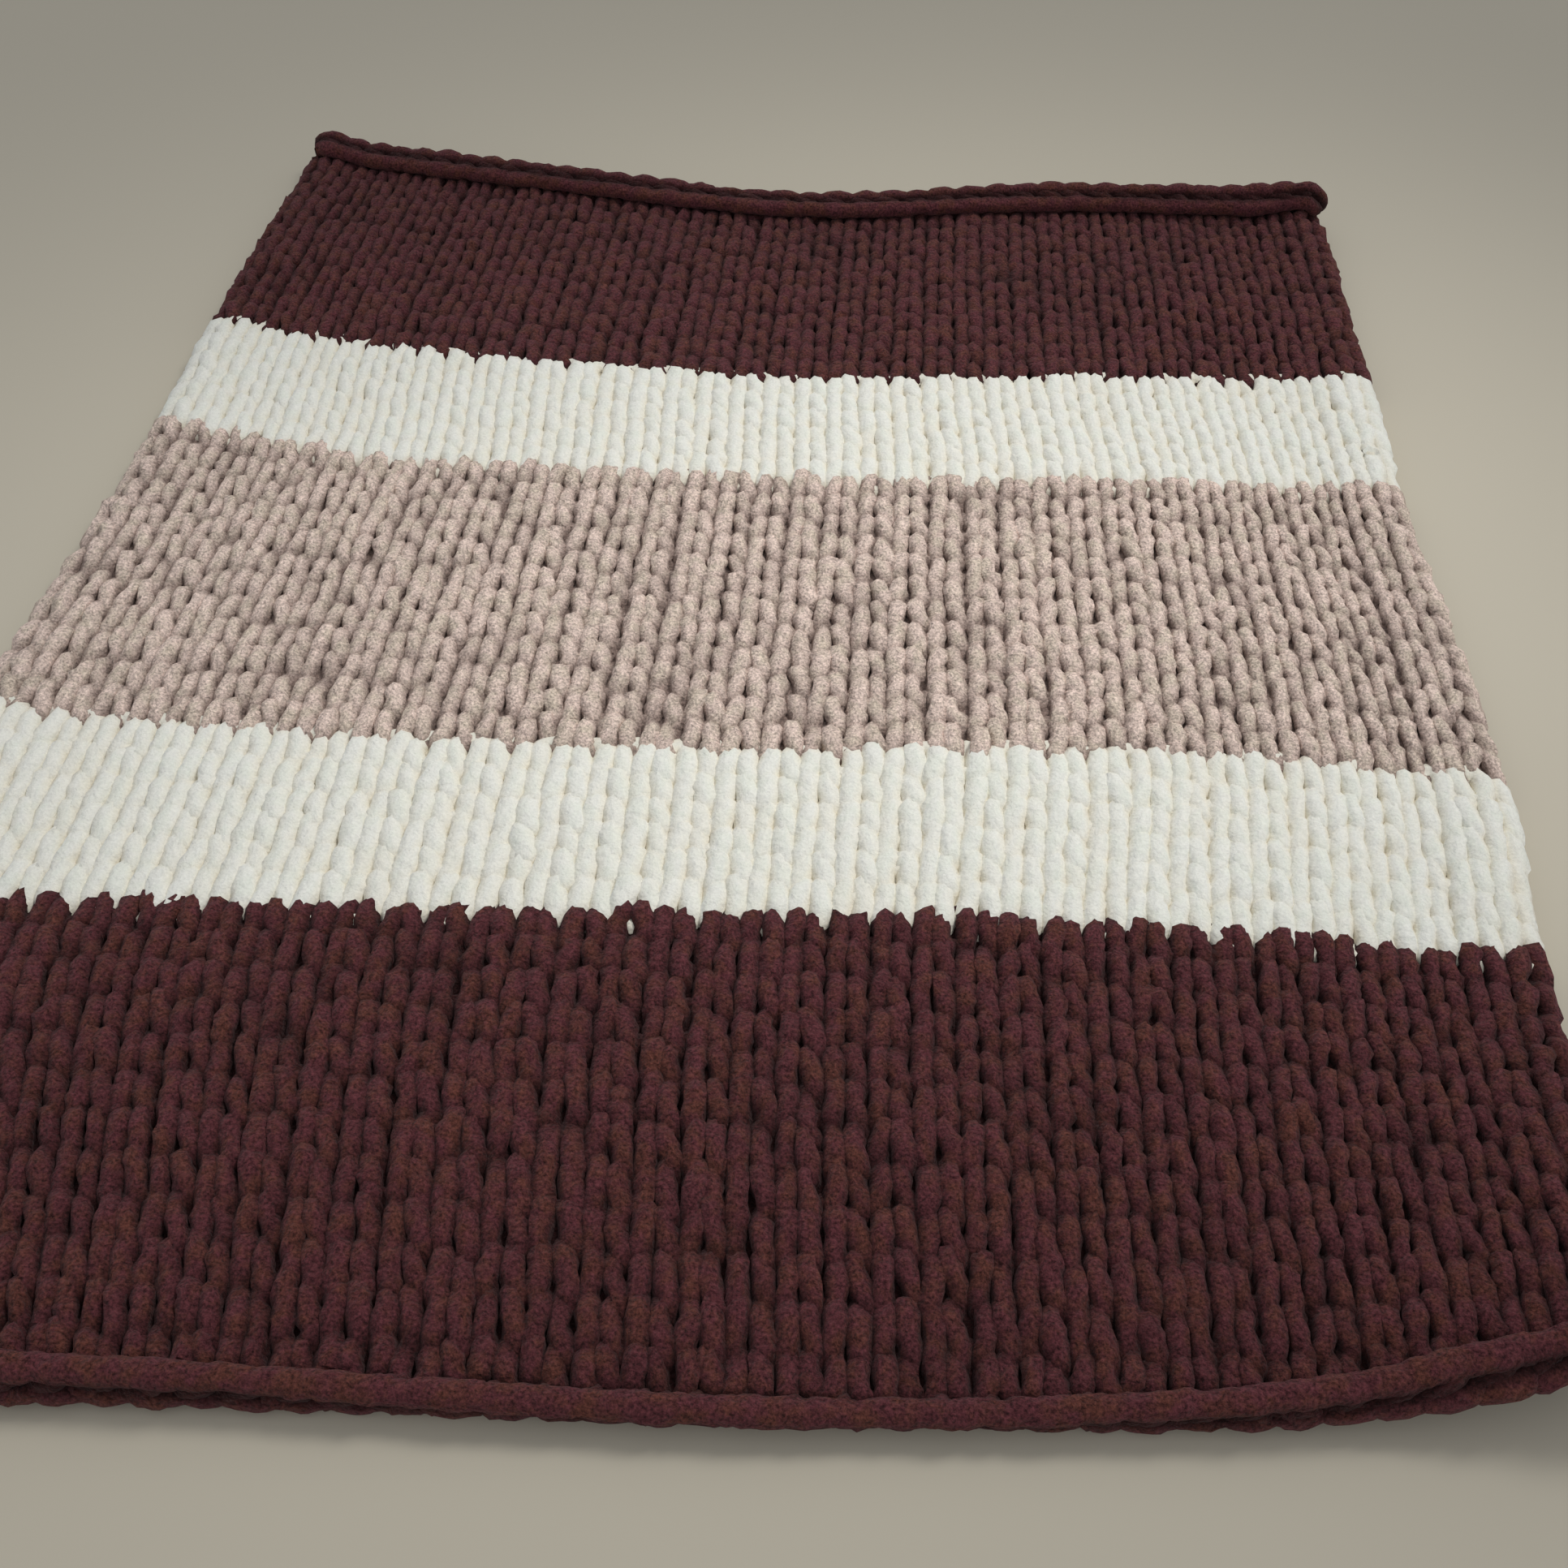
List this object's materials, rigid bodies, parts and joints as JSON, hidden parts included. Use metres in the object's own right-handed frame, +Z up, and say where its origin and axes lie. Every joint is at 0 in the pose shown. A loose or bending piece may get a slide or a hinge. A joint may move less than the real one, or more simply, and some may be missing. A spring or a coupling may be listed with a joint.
{
  "type": "chunky knit throw blanket",
  "caption": "Chunky hand-knit throw lying flat with its knit side up, in wide burgundy, white and taupe bands, its end edges curled over and one corner lifted.",
  "frame": {"origin": "on the ground under the middle of the blanket's box", "axes": "+Y along the columns of stitches, from the near bound-off edge to the far edge, +X across the columns, +Z up"},
  "size_m": [1.2886, 1.5663, 0.0822],
  "materials": {
    "burgundy_yarn": "matte chenille",
    "white_yarn": "matte chenille",
    "taupe_yarn": "matte chenille"
  },
  "bodies": {
    "root": {"knit_blanket": "burgundy_yarn"}
  },
  "joints": []
}
